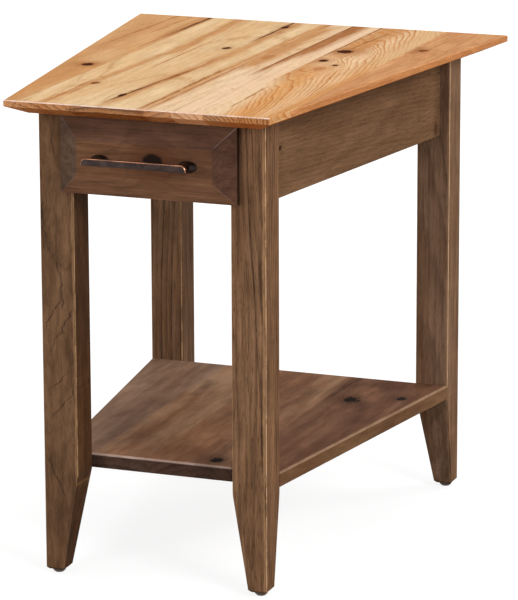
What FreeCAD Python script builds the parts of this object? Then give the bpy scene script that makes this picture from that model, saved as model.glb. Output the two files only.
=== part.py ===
import FreeCAD, Part
import os
import re

doc = FreeCAD.newDocument("WedgeTable")
sheet = doc.addObject("Spreadsheet::Sheet", "Sizes")

# Driving sizes in millimetres; depths count from the front legs' front face
sizes = {
    # table as a whole
    "tableHeight": 609.6,
    "slotClear": 0.3,
    "ripReach": 800,
    # legs
    "legSide": 45.3,
    "legFrontHalf": 148.1,
    "legBackHalf": 213.6,
    "legSpan": 505.5,
    "legFoot": 25,
    "taperStart": 132,
    "footEase": 3,
    "legArris": 1.6,
    "glideTall": 5,
    "glideRadius": 8,
    "glideToe": 5.5,
    "glideFlank": 2.5,
    "nailRadius": 1.3,
    "nailLong": 16,
    # top
    "topThick": 19,
    "noseTall": 8,
    "bevelRun": 25,
    "topOverFront": 49.1,
    "topOverBack": 44,
    "topOverSide": 37,
    "topArris": 2,
    "topSeamLeftIn": 19.7,
    "topSeamTwo": -86,
    "topSeamThree": 12,
    "topSeamFour": 47,
    "topSeamFive": 87,
    "topSeamRightOut": 7.3,
    # shelf
    "shelfTop": 148.5,
    "shelfThick": 18.5,
    "shelfArris": 4,
    "shelfSeamLeftIn": 47.1,
    "shelfSeamTwo": -29,
    "shelfSeamThree": 25,
    "shelfSeamFour": 82,
    "dowelRadius": 5,
    "dowelHalf": 18,
    # aprons and rails
    "apronTall": 104,
    "apronThick": 19,
    "apronReveal": 14,
    "tenonLong": 16,
    "tenonThick": 8,
    "tenonShoulder": 12,
    "railTall": 19,
    "railDeep": 38,
    "railTenonSet": 8,
    "railShoulder": 3,
    "openingTall": 56.6,
    "guideThick": 12,
    "guideTenon": 10,
    "guideCheek": 2,
    "guideShoulder": 14,
    "runnerWide": 20,
    # screws that hold the top
    "screwRadius": 2,
    "screwHead": 4,
    "screwSink": 3,
    "screwBite": 11,
    "railScrewHalf": 60,
    "cleatScrewBack": 88,
    # drawer box
    "sideClear": 1,
    "boxBackGap": 69,
    "boxTall": 53,
    "boxWall": 12.7,
    "bottomThick": 6,
    "bottomUp": 8.2,
    "grooveDeep": 6,
    "pinHalfEnd": 4.5,
    "pinHalfBase": 6.5,
    "pinEdgeEnd": 4.5,
    "pinEdgeBase": 6.5,
    # drawer front
    "drawerGap": 1.5,
    "frontLap": 12.1,
    "frontTopGap": 3.1,
    "frontTall": 95.4,
    "frontThick": 22,
    "frontEdge": 7.5,
    "frontBevel": 27,
    "frontScrewIn": 28,
    "frontScrewLow": 26.7,
    "frontScrewHigh": 45.7,
    "frontScrewBite": 13,
    # pull
    "pullPast": 11,
    "pullTall": 8.6,
    "pullThick": 5,
    "pullReach": 34,
    "pullUp": 45.9,
    "pullRound": 7,
    "pullEase": 0.8,
    "footIn": 30.9,
    "footDrop": 4.2,
    "footBase": 12,
    "footBaseTall": 7.3,
    "footRim": 1.2,
    "footWaist": 6.4,
    "footWaistTall": 5.2,
    "footWaistRise": 1.4,
    "footTaper": 9,
    "footNeck": 4.2,
    "footNeckTall": 3.6,
    "boltRadius": 2,
    "boltHead": 4.2,
    "boltHeadTall": 2.6,
    "boltBite": 10,
}
for row, (alias, value) in enumerate(sizes.items(), 1):
    sheet.set("A%d" % row, alias)
    sheet.set("B%d" % row, str(value))
    sheet.setAlias("B%d" % row, alias)
doc.recompute()

# Expressions that several pieces share
slope = "((legBackHalf - legFrontHalf) / (legSpan - legSide))"
across = "sqrt(1 + %s ^ 2)" % slope
middle = "((legSpan + legSide + topOverBack - drawerGap - frontThick - pullReach) / 2)"
under = "(tableHeight - topThick)"
apronBottom = "(tableHeight - topThick - apronTall)"
openingTop = "(tableHeight - topThick - railTall)"
openingBottom = "(tableHeight - topThick - railTall - openingTall)"
lowerBottom = "(tableHeight - topThick - 2 * railTall - openingTall)"
innerFront = "(legFrontHalf - legSide)"
innerBack = "(legBackHalf - legSide)"
apronX = "(apronThick * %s)" % across
rearInner = "(legSpan + legSide - apronReveal - apronThick)"
boxHalf = "(legFrontHalf - legSide - sideClear)"
boxBottom = "(tableHeight - topThick - railTall - openingTall + slotClear)"
frontBottom = "(tableHeight - topThick - frontTopGap - frontTall)"
pullBottom = "(%s + pullUp)" % frontBottom
footZ = "(%s + pullTall / 2 - footDrop)" % pullBottom
frontHalf = "(legFrontHalf - legSide + frontLap)"
footHalf = "(%s - frontBevel - footIn)" % frontHalf
pullHalf = "(%s + pullPast)" % footHalf
boxEnd = "(%s - boxBackGap)" % rearInner

pieces = []


def bind(item, field, text):
    full = re.sub(r"[A-Za-z]\w*", lambda m: "Sizes." + m[0] if m[0] in sizes else m[0], text)
    item.setExpression(field, full)


def depth(text):
    return "(%s) - %s" % (text, middle)


def box(name, x, y, z):
    item = doc.addObject("Part::Box", name)
    for field, base, (low, high) in zip(("Length", "Width", "Height"), "xyz", (x, y, z)):
        bind(item, field, "(%s) - (%s)" % (high, low))
        bind(item, "Placement.Base." + base, depth(low) if base == "y" else low)
    return item


def setWedge(item, x, y, z, x2, z2):
    fields = ("Xmin", "Xmax", "Zmin", "Zmax", "X2min", "X2max", "Z2min", "Z2max")
    for field, text in zip(fields, (*x, *z, *x2, *z2)):
        bind(item, field, text)
    bind(item, "Ymin", y[0])
    bind(item, "Ymax", y[1])
    return item


def wedge(name, x, y, z, x2, z2):
    return setWedge(doc.addObject("Part::Wedge", name), x, [depth(v) for v in y], z, x2, z2)


def upright(name, x, y, z, x2, y2, corner):
    # A wedge that grows upwards from the rectangle x, y to the rectangle x2, y2
    flip = ["-(%s)" % v for v in reversed(y)]
    flip2 = ["-(%s)" % v for v in reversed(y2)]
    item = setWedge(doc.addObject("Part::Wedge", name), x, z, flip, x2, flip2)
    item.Placement.Rotation = FreeCAD.Rotation(FreeCAD.Vector(1, 0, 0), 90)
    bind(item, "Placement.Base.x", corner[0])
    bind(item, "Placement.Base.y", depth(corner[1]))
    return item


def place(item, x, y, z, turn=None):
    if turn:
        item.Placement.Rotation = FreeCAD.Rotation(FreeCAD.Vector(1, 0, 0), turn)
    bind(item, "Placement.Base.x", x)
    bind(item, "Placement.Base.y", depth(y))
    bind(item, "Placement.Base.z", z)
    return item


def cylinder(name, radius, tall, x, y, z, turn=None):
    item = doc.addObject("Part::Cylinder", name)
    bind(item, "Radius", radius)
    bind(item, "Height", tall)
    return place(item, x, y, z, turn)


def cone(name, low, high, tall, x, y, z, turn=None):
    item = doc.addObject("Part::Cone", name)
    bind(item, "Radius1", low)
    bind(item, "Radius2", high)
    bind(item, "Height", tall)
    return place(item, x, y, z, turn)


def cut(name, base, *tools):
    for count, tool in enumerate(tools):
        item = doc.addObject("Part::Cut", "%s_cut_%d" % (name, count))
        item.Base = base
        item.Tool = tool
        base = item
    return base


def common(name, base, tool):
    item = doc.addObject("Part::Common", name)
    item.Base = base
    item.Tool = tool
    return item


def fuse(name, *parts):
    item = doc.addObject("Part::MultiFuse", name)
    item.Shapes = list(parts)
    item.Refine = True
    return item


def gather(name, *parts):
    # Loose fasteners of one kind, kept as separate solids of one sub-part
    item = doc.addObject("Part::Compound", name)
    item.Links = list(parts)
    return item


def roundEdges(name, base, radius, test):
    doc.recompute()
    item = doc.addObject("Part::Fillet", name)
    item.Base = base
    size = float(sheet.get(radius))
    item.Edges = [(n, size, size) for n, edge in enumerate(base.Shape.Edges, 1) if test(edge)]
    return item


def bevelEdges(name, base, size, test):
    doc.recompute()
    item = doc.addObject("Part::Chamfer", name)
    item.Base = base
    cutBack = float(sheet.get(size))
    item.Edges = [(n, cutBack, cutBack) for n, edge in enumerate(base.Shape.Edges, 1) if test(edge)]
    return item


def keep(label, item):
    item.Label = label
    pieces.append(item)
    return item


def along(edge, axis):
    first, last = edge.Vertexes[0].Point, edge.Vertexes[-1].Point
    run = (last - first).normalize()
    return abs(run.dot(axis)) > 0.9


def names(item, test):
    return ["Edge%d" % n for n, edge in enumerate(item.Shape.Edges, 1) if test(edge)]


alongY = FreeCAD.Vector(0, 1, 0)
alongZ = FreeCAD.Vector(0, 0, 1)

# Top panel: a wedge in plan, cut under on all sides, then ripped into its glued boards
topHalf = "(legFrontHalf + %s * ((%%s) - legSide) + topOverSide)" % slope
topFrontY = "-topOverFront"
topBackY = "legSpan + legSide + topOverBack"
topFront = topHalf % topFrontY
topBack = topHalf % topBackY
topBody = doc.addObject("PartDesign::Body", "TopPanel")
panel = topBody.newObject("PartDesign::AdditiveWedge", "TopBlank")
setWedge(panel, ("-" + topFront, topFront), (depth(topFrontY), depth(topBackY)), (under, "tableHeight"),
         ("-" + topBack, topBack), (under, "tableHeight"))
doc.recompute()
lowZ = panel.Shape.BoundBox.ZMin
bevel = topBody.newObject("PartDesign::Chamfer", "TopBevel")
bevel.Base = (panel, names(panel, lambda e: e.BoundBox.ZMax < lowZ + 0.1))
bevel.ChamferType = "Two distances"
bind(bevel, "Size", "topThick - noseTall")
bind(bevel, "Size2", "bevelRun")
doc.recompute()
nose = topBody.newObject("PartDesign::Fillet", "TopNose")
highZ = panel.Shape.BoundBox.ZMax
nose.Base = (bevel, names(bevel, lambda e: e.BoundBox.ZMin > highZ - 0.1))
bind(nose, "Radius", "topArris")
topBody.Tip = nose

topScrews = []
for label, x, y in (("rail_left", "-railScrewHalf", "railDeep / 2"),
                    ("rail_right", "railScrewHalf", "railDeep / 2"),
                    ("back_left", "-(%s - runnerWide / 2)" % innerFront, rearInner + " - cleatScrewBack"),
                    ("back_right", "%s - runnerWide / 2" % innerFront, rearInner + " - cleatScrewBack")):
    head = cone("top_screw_head_" + label, "screwHead", "screwRadius", "screwSink", x, y, openingTop)
    shank = cylinder("top_screw_shank_" + label, "screwRadius", "railTall + screwBite", x, y, openingTop)
    topScrews.append(fuse("top_screw_" + label, head, shank))
topScrewSet = keep("top_screws", gather("top_screw_set", *topScrews))

seams = ["-ripReach", "-(%s - topSeamLeftIn)" % topFront, "topSeamTwo", "topSeamThree", "topSeamFour",
         "topSeamFive", topFront + " + topSeamRightOut", "ripReach"]
for count in range(len(seams) - 1):
    slab = box("top_slab_%d" % count, seams[count:count + 2], ("-ripReach", "ripReach"), (under, "tableHeight"))
    board = common("top_rip_%d" % count, topBody, slab)
    keep("top_board_%d" % (count + 1), cut("top_drilled_%d" % count, board, topScrewSet))

# Aprons, rails and drawer runners, with the tenons that reach into the legs
sides = (("left", "-"), ("right", ""))


def spread(sign, low, high):
    return ("-(%s)" % high, "-(%s)" % low) if sign else (low, high)


aprons = {}
for side, sign in sides:
    outer = "legFrontHalf - apronReveal"
    outerBack = "legBackHalf - apronReveal"
    boardZ = (apronBottom, under)
    board = wedge("apron_board_" + side, spread(sign, "%s - %s" % (outer, apronX), outer),
                  ("legSide", "legSpan"), boardZ,
                  spread(sign, "%s - %s" % (outerBack, apronX), outerBack), boardZ)
    centre = "%s - %s / 2 - %s * tenonLong" % (outer, apronX, slope)
    centreBack = "%s - %s / 2 + %s * tenonLong" % (outerBack, apronX, slope)
    tenonZ = (apronBottom + " + tenonShoulder", under + " - tenonShoulder")
    tongue = wedge("apron_tenons_" + side,
                   spread(sign, centre + " - tenonThick / 2", centre + " + tenonThick / 2"),
                   ("legSide - tenonLong", "legSpan + tenonLong"), tenonZ,
                   spread(sign, centreBack + " - tenonThick / 2", centreBack + " + tenonThick / 2"), tenonZ)
    aprons[side] = keep("side_apron_" + side, fuse("apron_" + side, board, tongue))

rearX = ("-" + innerBack, innerBack)
rearBoard = box("rear_board", rearX, (rearInner, rearInner + " + apronThick"), (apronBottom, under))
rearMid = rearInner + " + apronThick / 2"
rearTongue = box("rear_tenons", (rearX[0] + " - tenonLong", rearX[1] + " + tenonLong"),
                 (rearMid + " - tenonThick / 2", rearMid + " + tenonThick / 2"),
                 (apronBottom + " + tenonShoulder", under + " - tenonShoulder"))
rearWhole = fuse("rear_whole", rearBoard, rearTongue)

rails = {}
for label, bottom in (("front_top_rail", openingTop), ("front_lower_rail", lowerBottom)):
    board = box(label + "_board", ("-" + innerFront, innerFront), ("0", "railDeep"),
                (bottom, bottom + " + railTall"))
    tongue = box(label + "_tenons", ("-(%s + tenonLong)" % innerFront, innerFront + " + tenonLong"),
                 ("railTenonSet", "railTenonSet + tenonThick"),
                 (bottom + " + railShoulder", bottom + " + railTall - railShoulder"))
    rails[label] = fuse(label + "_whole", board, tongue)
keep("front_lower_rail", rails["front_lower_rail"])
keep("front_top_rail", cut("front_top_rail_drilled", rails["front_top_rail"], topScrewSet))

guides = {}
for side, sign in sides:
    board = box("guide_board_" + side, spread(sign, innerFront, innerFront + " + guideThick"),
                ("legSide", rearInner), (lowerBottom, under))
    tongue = box("guide_tenons_" + side,
                 spread(sign, innerFront + " + guideCheek", innerFront + " + guideThick - guideCheek"),
                 ("legSide - guideTenon", rearInner + " + guideTenon"),
                 (lowerBottom + " + guideShoulder", under + " - guideShoulder"))
    guides[side] = keep("drawer_guide_" + side, fuse("guide_" + side, board, tongue))
    strip = spread(sign, innerFront + " - runnerWide", innerFront)
    runner = box("runner_" + side, strip, ("railDeep", rearInner), (lowerBottom, openingBottom))
    keep("drawer_runner_" + side, runner)
    kicker = box("kicker_" + side, strip, ("railDeep", rearInner), (openingTop, under))
    keep("drawer_kicker_" + side, cut("kicker_drilled_" + side, kicker, topScrewSet))
keep("rear_apron", cut("rear_mortised", rearWhole, guides["left"], guides["right"]))

# Shelf panel between the legs, ripped into its glued boards and doweled to each leg
shelfBody = doc.addObject("PartDesign::Body", "ShelfPanel")
shelfBlank = shelfBody.newObject("PartDesign::AdditiveWedge", "ShelfBlank")
shelfZ = ("shelfTop - shelfThick", "shelfTop")
setWedge(shelfBlank, ("-legFrontHalf", "legFrontHalf"), (depth("legSide"), depth("legSpan")), shelfZ,
         ("-legBackHalf", "legBackHalf"), shelfZ)
doc.recompute()
shelfHigh = shelfBlank.Shape.BoundBox.ZMax
shelfRound = shelfBody.newObject("PartDesign::Fillet", "ShelfArris")
shelfRound.Base = (shelfBlank, names(shelfBlank, lambda e: e.BoundBox.ZMin > shelfHigh - 0.1))
bind(shelfRound, "Radius", "shelfArris")
shelfBody.Tip = shelfRound

dowels = []
for side, sign in sides:
    for end, middleX, y in (("front", "legFrontHalf - legSide / 2", "legSide"),
                            ("back", "legBackHalf - legSide / 2", "legSpan")):
        dowels.append(cylinder("dowel_%s_%s" % (end, side), "dowelRadius", "2 * dowelHalf",
                               "%s(%s)" % (sign, middleX), y + " + dowelHalf", "shelfTop - shelfThick / 2", 90))
dowelSet = keep("shelf_dowels", gather("dowel_set", *dowels))

seams = ["-ripReach", "-(legFrontHalf - shelfSeamLeftIn)", "shelfSeamTwo", "shelfSeamThree", "shelfSeamFour",
         "ripReach"]
for count in range(len(seams) - 1):
    slab = box("shelf_slab_%d" % count, seams[count:count + 2], ("-ripReach", "ripReach"), shelfZ)
    board = common("shelf_rip_%d" % count, shelfBody, slab)
    keep("shelf_board_%d" % (count + 1), cut("shelf_drilled_%d" % count, board, dowelSet))

# Legs: square posts eased along their arrises and tapered on the two inner faces, each on a nail-in glide
glides = []
for end, half, y, inward in (("front", "legFrontHalf", "0", 1),
                             ("back", "legBackHalf", "legSpan + legSide", -1)):
    for side, sign in sides:
        corner = (sign + half, y)

        def square(size, trim="0"):
            run = ("0 + " + trim, "%s - %s" % (size, trim))
            back = ("-(%s)" % run[1], "-(%s)" % run[0])
            return (run if sign else back), (run if inward > 0 else back)

        label = "leg_%s_%s" % (end, side)
        full = square("legSide")
        foot = square("legFoot")
        toe = square("legFoot", "footEase")
        low = "glideTall + footEase"
        blank = upright(label + "_blank", full[0], full[1], ("glideTall", under), full[0], full[1], corner)
        eased = roundEdges(label + "_eased", blank, "legArris", lambda e: along(e, alongZ))
        shape = fuse(label + "_form",
                     upright(label + "_toe", *toe, ("glideTall", low), *foot, corner),
                     upright(label + "_taper", *foot, (low, "taperStart"), *full, corner),
                     upright(label + "_post", *full, ("taperStart", under), *full, corner))
        spot = ["%s + (%s + %s) / 2" % (at, *run) for at, run in zip(corner, foot)]
        flank = cone(label + "_glide_toe", "glideToe", "glideRadius", "glideFlank", *spot, "0")
        disc = cylinder(label + "_glide_disc", "glideRadius", "glideTall - glideFlank", *spot, "glideFlank")
        nail = cylinder(label + "_nail", "nailRadius", "nailLong", *spot, "glideTall")
        glide = fuse("glide_%s_%s" % (end, side), flank, disc, nail)
        glides.append(glide)
        tools = [aprons[side], dowelSet, glide]
        tools += [*rails.values(), guides[side]] if inward > 0 else [rearWhole]
        keep(label, cut(label, common(label + "_solid", eased, shape), *tools))
keep("leg_glides", gather("glide_set", *glides))

# Drawer box: through dovetails at all four corners, bottom panel held in grooves
boxStart = "-drawerGap"
boxTop = boxBottom + " + boxTall"
wide = ("-" + boxHalf, boxHalf)
pinMid = boxBottom + " + boxTall / 2"
pinRows = (
    ("low", (boxBottom, boxBottom + " + pinEdgeEnd"), (boxBottom, boxBottom + " + pinEdgeBase")),
    ("mid", (pinMid + " - pinHalfEnd", pinMid + " + pinHalfEnd"),
     (pinMid + " - pinHalfBase", pinMid + " + pinHalfBase")),
    ("high", (boxTop + " - pinEdgeEnd", boxTop), (boxTop + " - pinEdgeBase", boxTop)),
)
sockets = []
for row, tip, root in pinRows:
    sockets.append(wedge("socket_front_" + row, wide, (boxStart, boxStart + " + boxWall"), tip, wide, root))
    sockets.append(wedge("socket_back_" + row, wide, (boxEnd + " - boxWall", boxEnd), root, wide, tip))
tray = (boxStart + " + boxWall - grooveDeep", boxEnd + " - boxWall + grooveDeep")
bottom = keep("drawer_bottom", box("bottom_panel", ("-(%s - boxWall + grooveDeep)" % boxHalf,
                                                   "%s - boxWall + grooveDeep" % boxHalf), tray,
                                  (boxBottom + " + bottomUp", boxBottom + " + bottomUp + bottomThick")))
tailed = []
for side, sign in sides:
    blank = box("side_blank_" + side, spread(sign, boxHalf + " - boxWall", boxHalf), (boxStart, boxEnd),
                (boxBottom, boxTop))
    tails = cut("side_tails_" + side, blank, *sockets)
    tailed.append(tails)
    keep("drawer_side_" + side, cut("side_grooved_" + side, tails, bottom))

# Fixings of the drawer front and the pull, all driven from inside the box
frontScrews = []
bolts = []
inside = boxStart + " + boxWall"
for side, sign in sides:
    for row in ("Low", "High"):
        spot = ("%s(%s - frontScrewIn)" % (sign, boxHalf), inside, "%s + frontScrew%s" % (boxBottom, row))
        head = cone("front_screw_head_%s_%s" % (side, row), "screwHead", "screwRadius", "screwSink", *spot, 90)
        shank = cylinder("front_screw_shank_%s_%s" % (side, row), "screwRadius", "boxWall + frontScrewBite",
                         *spot, 90)
        frontScrews.append(fuse("front_screw_%s_%s" % (side, row), head, shank))
    footX = sign + footHalf
    head = cylinder("bolt_head_" + side, "boltHead", "boltHeadTall", footX, inside + " + boltHeadTall",
                    footZ, 90)
    shank = cylinder("bolt_shank_" + side, "boltRadius", "boxWall + frontThick + boltBite", footX, inside,
                     footZ, 90)
    bolts.append(fuse("bolt_" + side, head, shank))
frontScrewSet = keep("drawer_front_screws", gather("front_screw_set", *frontScrews))
boltSet = keep("pull_screws", gather("bolt_set", *bolts))

frontBlank = box("box_front_blank", wide, (boxStart, inside), (boxBottom, boxTop))
keep("drawer_box_front", cut("box_front", frontBlank, tailed[0], tailed[1], bottom, frontScrewSet, boltSet))
backBlank = box("box_back_blank", wide, (boxEnd + " - boxWall", boxEnd), (boxBottom, boxTop))
keep("drawer_box_back", cut("box_back", backBlank, tailed[0], tailed[1], bottom))

# Drawer front: a flat edge all round and a field raised on mitred bevels
frontTop = frontBottom + " + frontTall"
edgeSlab = box("front_slab", ("-" + frontHalf, frontHalf), ("-(drawerGap + frontEdge)", boxStart),
               (frontBottom, frontTop))
field = wedge("front_field", ("-(%s - frontBevel)" % frontHalf, frontHalf + " - frontBevel"),
              ("-(drawerGap + frontThick)", "-(drawerGap + frontEdge)"),
              (frontBottom + " + frontBevel", frontTop + " - frontBevel"), ("-" + frontHalf, frontHalf),
              (frontBottom, frontTop))
raised = fuse("front_raised", edgeSlab, field)
keep("drawer_front", cut("front_drilled", raised, frontScrewSet, boltSet))

# Pull: a flat bar with quarter-round upper corners on two oval feet that flare to the drawer front
barBack = "-(drawerGap + frontThick + pullReach - pullThick)"
bar = box("pull_bar", ("-" + pullHalf, pullHalf), ("-(drawerGap + frontThick + pullReach)", barBack),
          (pullBottom, pullBottom + " + pullTall"))
doc.recompute()
barHigh = bar.Shape.BoundBox.ZMax
shoulders = roundEdges("pull_shoulders", bar, "pullRound",
                       lambda e: along(e, alongY) and e.BoundBox.ZMin > barHigh - 0.1)
doc.recompute()
barFront = bar.Shape.BoundBox.YMin
softBar = bevelEdges("pull_soft", shoulders, "pullEase", lambda e: e.BoundBox.YMax < barFront + 0.1)
feet = []
for side, sign in sides:
    ovals = []
    for row, wideHalf, tallHalf, out, rise in (
            ("base", "footBase", "footBaseTall", "0", "0"),
            ("rim", "footBase", "footBaseTall", "footRim", "0"),
            ("waist", "footWaist", "footWaistTall", "footTaper", "footWaistRise"),
            ("neck", "footNeck", "footNeckTall", "pullReach - pullThick / 2", "footDrop")):
        oval = doc.addObject("Part::Ellipse", "pull_%s_%s" % (row, side))
        bind(oval, "MajorRadius", wideHalf)
        bind(oval, "MinorRadius", tallHalf)
        ovals.append(place(oval, sign + footHalf, "-(drawerGap + frontThick + %s)" % out,
                           "%s + %s" % (footZ, rise), 90))
    foot = doc.addObject("Part::Loft", "pull_foot_" + side)
    foot.Sections = ovals
    foot.Solid = True
    foot.Ruled = True
    feet.append(foot)
keep("pull", cut("pull_tapped", fuse("pull_whole", softBar, *feet), boltSet))

doc.recompute()
faults = [item.Name for item in doc.Objects if "Invalid" in item.State or "Error" in item.State]
faults += [item.Label for item in pieces if item.Shape.isNull() or not item.Shape.isValid()]
if faults:
    raise RuntimeError("failed: " + ", ".join(faults))
os.makedirs("parts", exist_ok=True)
for item in pieces:
    item.Shape.exportStep("parts/%s.step" % item.Label)
print(len(pieces), "sub-parts written")
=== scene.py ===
import math
import bpy
from mathutils import Matrix, Vector


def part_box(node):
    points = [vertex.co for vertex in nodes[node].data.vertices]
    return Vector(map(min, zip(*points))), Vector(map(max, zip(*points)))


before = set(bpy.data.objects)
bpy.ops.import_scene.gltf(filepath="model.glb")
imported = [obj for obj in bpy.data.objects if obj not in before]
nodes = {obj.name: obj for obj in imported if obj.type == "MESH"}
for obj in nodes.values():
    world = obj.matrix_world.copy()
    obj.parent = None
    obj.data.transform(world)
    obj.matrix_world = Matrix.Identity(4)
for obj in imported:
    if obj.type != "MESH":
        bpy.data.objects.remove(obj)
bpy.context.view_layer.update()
print("frame loaded:", len(nodes), "nodes")


# Small helpers for building node trees
def addNode(tree, kind, inputs=None, **settings):
    made = tree.nodes.new(kind)
    for field, value in settings.items():
        setattr(made, field, value)
    for key, value in (inputs or {}).items():
        if isinstance(value, bpy.types.NodeSocket):
            tree.links.new(value, made.inputs[key])
        else:
            made.inputs[key].default_value = value
    return made


def calc(tree, operation, *values):
    return addNode(tree, "ShaderNodeMath", dict(enumerate(values)), operation=operation).outputs[0]


def product(tree, made, *others):
    for other in others:
        made = calc(tree, "MULTIPLY", made, other)
    return made


def vectorCalc(tree, operation, *values):
    return addNode(tree, "ShaderNodeVectorMath", dict(enumerate(values)), operation=operation).outputs[0]


def lengthOf(tree, vector):
    return addNode(tree, "ShaderNodeVectorMath", {0: vector}, operation="LENGTH").outputs["Value"]


def axes(tree, vector):
    return addNode(tree, "ShaderNodeSeparateXYZ", {0: vector}).outputs


def fromAxes(tree, x, y, z):
    return addNode(tree, "ShaderNodeCombineXYZ", {0: x, 1: y, 2: z}).outputs[0]


def remap(tree, value, low, high, outLow=0.0, outHigh=1.0, smooth=True):
    inputs = {0: value, 1: low, 2: high, 3: outLow, 4: outHigh}
    shape = "SMOOTHSTEP" if smooth else "LINEAR"
    return addNode(tree, "ShaderNodeMapRange", inputs, clamp=True, interpolation_type=shape).outputs[0]


def mixColour(tree, factor, first, second, blend="MIX"):
    inputs = {0: factor, 6: first, 7: second}
    return addNode(tree, "ShaderNodeMix", inputs, data_type="RGBA", blend_type=blend).outputs[2]


def greyColour(tree, value):
    return addNode(tree, "ShaderNodeCombineColor", {0: value, 1: value, 2: value}).outputs[0]


def noise(tree, place, scale, detail=2.0, rough=0.5, twist=0.0):
    inputs = {"Vector": place, "Scale": scale, "Detail": detail, "Roughness": rough, "Distortion": twist}
    return addNode(tree, "ShaderNodeTexNoise", inputs).outputs


# noise drawn out along the grain
def grainNoise(tree, place, stretch, **look):
    return noise(tree, vectorCalc(tree, "MULTIPLY", place, (1.0, stretch, 1.0)), **look)


def newGroup(name, inputs, outputs):
    tree = bpy.data.node_groups.new(name, "ShaderNodeTree")
    for label, value in inputs.items():
        kind = "NodeSocketVector" if isinstance(value, tuple) else "NodeSocketFloat"
        socket = tree.interface.new_socket(label, in_out="INPUT", socket_type=kind)
        socket.default_value = value
    for label in outputs:
        tree.interface.new_socket(label, in_out="OUTPUT", socket_type="NodeSocketFloat")
    return tree, tree.nodes.new("NodeGroupInput").outputs, tree.nodes.new("NodeGroupOutput").inputs


def putOut(tree, out, **values):
    for label, value in values.items():
        tree.links.new(value, out[label])
    return tree


def placeGroup(tree, group, **inputs):
    return addNode(tree, "ShaderNodeGroup", inputs, node_tree=group).outputs


def newMaterial(name):
    material = bpy.data.materials.new(name)
    material.use_nodes = True
    material.node_tree.nodes.clear()
    return material, material.node_tree


# the material's own shader, with its constants on the sockets
def addSurface(tree, colour, rough, bump, constants):
    inputs = {"Base Color": colour, "Roughness": rough, "Normal": bump, **constants}
    shader = addNode(tree, "ShaderNodeBsdfPrincipled", inputs)
    addNode(tree, "ShaderNodeOutputMaterial", {"Surface": shader.outputs[0]})


# Growth rings round a leaning pith, with veins, bands, fibre and pores that follow the board
origin = (0, 0, 0)
noiseMiddle = 0.5
figureNoise = dict(  # a low stretch draws a pattern out along the grain, a high scale makes it fine
    wander=dict(stretch=0.16, scale=16.0),
    curl=dict(stretch=0.6, scale=40.0),
    jitter=dict(stretch=0.05, scale=160.0),
    veinBreaks=dict(stretch=0.12, scale=210.0, detail=3.0, rough=0.6),
    bands=dict(stretch=0.04, scale=165.0, detail=4.0, rough=0.6),
    fibre=dict(stretch=0.03, scale=420.0, detail=5.0, rough=0.7),
    pores=dict(stretch=0.05, scale=1350.0),
    broad=dict(stretch=0.16, scale=24.0, detail=4.0, rough=0.6, twist=0.4),
    cloud=dict(stretch=0.3, scale=62.0, detail=5.0, rough=0.62),
)
ringLook = dict(jitter=0.55, lateCurve=1.8, lateEnds=0.86, yearVary=0.6, yearLeast=0.4,
                veinAt=0.8, veinSoft=(0.5, 0.12), veinYears=(0.25, 0.7), veinBreaks=(0.36, 0.58),
                bandSpan=(0.46, 0.64), poreSpan=(0.56, 0.7))


def buildRings():
    tree, given, out = newGroup(
        "growthRings",
        dict(Place=origin, Pith=origin, Lean=0.0, Density=200.0, Lift=0.0, Wander=0.01, Curl=0.0, Line=0.3),
        ["Ring", "Vein", "Band", "Fibre", "Pore", "Broad", "Cloud"])
    look = ringLook
    place = given["Place"]

    def pattern(name, where):
        return grainNoise(tree, where, **figureNoise[name])

    def pushed(where, name, amount):
        push = vectorCalc(tree, "SUBTRACT", pattern(name, place)["Color"], (noiseMiddle,) * 3)
        push = addNode(tree, "ShaderNodeVectorMath", {0: push, "Scale": amount}, operation="SCALE").outputs[0]
        return vectorCalc(tree, "ADD", where, push)

    moved = pushed(pushed(place, "wander", given["Wander"]), "curl", given["Curl"])
    across, along, through = axes(tree, vectorCalc(tree, "SUBTRACT", moved, given["Pith"]))
    depth = calc(tree, "MULTIPLY_ADD", along, given["Lean"], through)
    radius = calc(tree, "SQRT", calc(tree, "MULTIPLY_ADD", depth, depth, product(tree, across, across)))
    turns = product(tree, calc(tree, "ADD", radius, given["Lift"]), given["Density"])
    phase = calc(tree, "MULTIPLY_ADD", pattern("jitter", place)[0], look["jitter"], turns)
    growth = calc(tree, "FRACT", phase)  # 0 to 1 through one year
    year = calc(tree, "FLOOR", phase)
    yearDraw = addNode(tree, "ShaderNodeTexWhiteNoise", {"W": year}, noise_dimensions="1D").outputs[0]
    yearDark = calc(tree, "MULTIPLY_ADD", yearDraw, look["yearVary"], look["yearLeast"])
    late = calc(tree, "POWER", growth, look["lateCurve"])
    late = product(tree, late, remap(tree, growth, look["lateEnds"], 1.0, 1.0, 0.0))
    fromVein = calc(tree, "ABSOLUTE", calc(tree, "SUBTRACT", growth, look["veinAt"]))
    vein = remap(tree, calc(tree, "DIVIDE", fromVein, given["Line"]), *look["veinSoft"])
    vein = product(tree, vein, remap(tree, yearDraw, *look["veinYears"]))
    return putOut(
        tree, out,
        Ring=product(tree, late, yearDark),
        Vein=product(tree, vein, remap(tree, pattern("veinBreaks", moved)[0], *look["veinBreaks"])),
        Band=remap(tree, pattern("bands", moved)[0], *look["bandSpan"]),
        Fibre=pattern("fibre", moved)[0],
        Pore=remap(tree, pattern("pores", moved)[0], *look["poreSpan"]),
        Broad=pattern("broad", place)[0],
        Cloud=pattern("cloud", moved)[0])


# A knot: dark heart, ring of tight grain round it, and the swelling it gives the growth rings
knotLook = dict(deep=0.3, edge=dict(scale=230.0, detail=4.0), core=(0.70, 1.02), haloFall=-0.3,
                liftFall=-0.16, lift=-2.6)


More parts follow.
